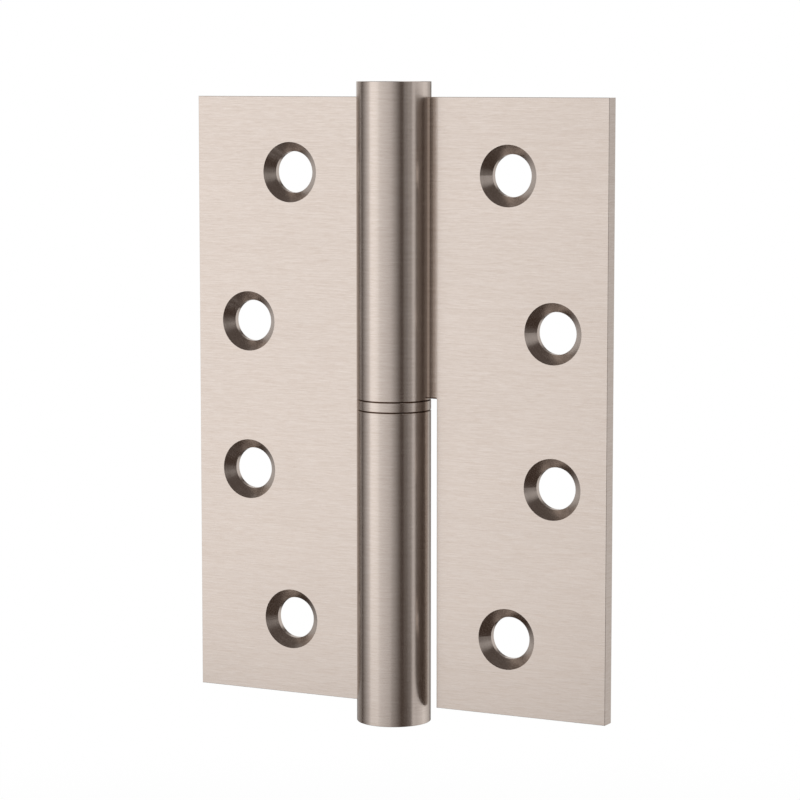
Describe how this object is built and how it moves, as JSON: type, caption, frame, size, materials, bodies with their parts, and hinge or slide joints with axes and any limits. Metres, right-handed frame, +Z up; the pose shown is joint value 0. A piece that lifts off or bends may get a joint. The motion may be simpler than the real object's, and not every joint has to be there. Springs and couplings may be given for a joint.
{
  "type": "lift-off hinge",
  "caption": "Lift-off door hinge: flat leaves with staggered countersunk screw holes, each with its own half of the knuckle, joined by a fixed pin and a washer.",
  "frame": {"origin": "on the pin's axis, half way up the hinge, in the middle of the washer between the two knuckles", "axes": "+Z up along the pin, the way the door leaf lifts off; +X across the open leaves towards the door leaf; -Y out of the countersunk front faces, and +Y out of the backs that lie on the wood"},
  "size_m": [0.075, 0.0122, 0.105],
  "materials": {
    "satin_nickel": "satin nickel plate on steel, brushed across the leaves and round the knuckles",
    "pin_steel": "bright ground steel, lightly oiled"
  },
  "bodies": {
    "frame_leaf": {"frame_leaf": "satin_nickel", "hinge_pin": "pin_steel"},
    "washer": {"washer": "satin_nickel"},
    "door_leaf": {"door_leaf": "satin_nickel"}
  },
  "joints": [
    {"name": "swing", "type": "hinge", "parent": "frame_leaf", "child": "washer", "pos_m": [0, 0, 0], "axis": [0, 0, -1], "range_deg": [-125, 180]},
    {"name": "lift_off", "type": "slide", "parent": "washer", "child": "door_leaf", "axis": [0, 0, 1], "range_m": [0, 0.105]}
  ]
}
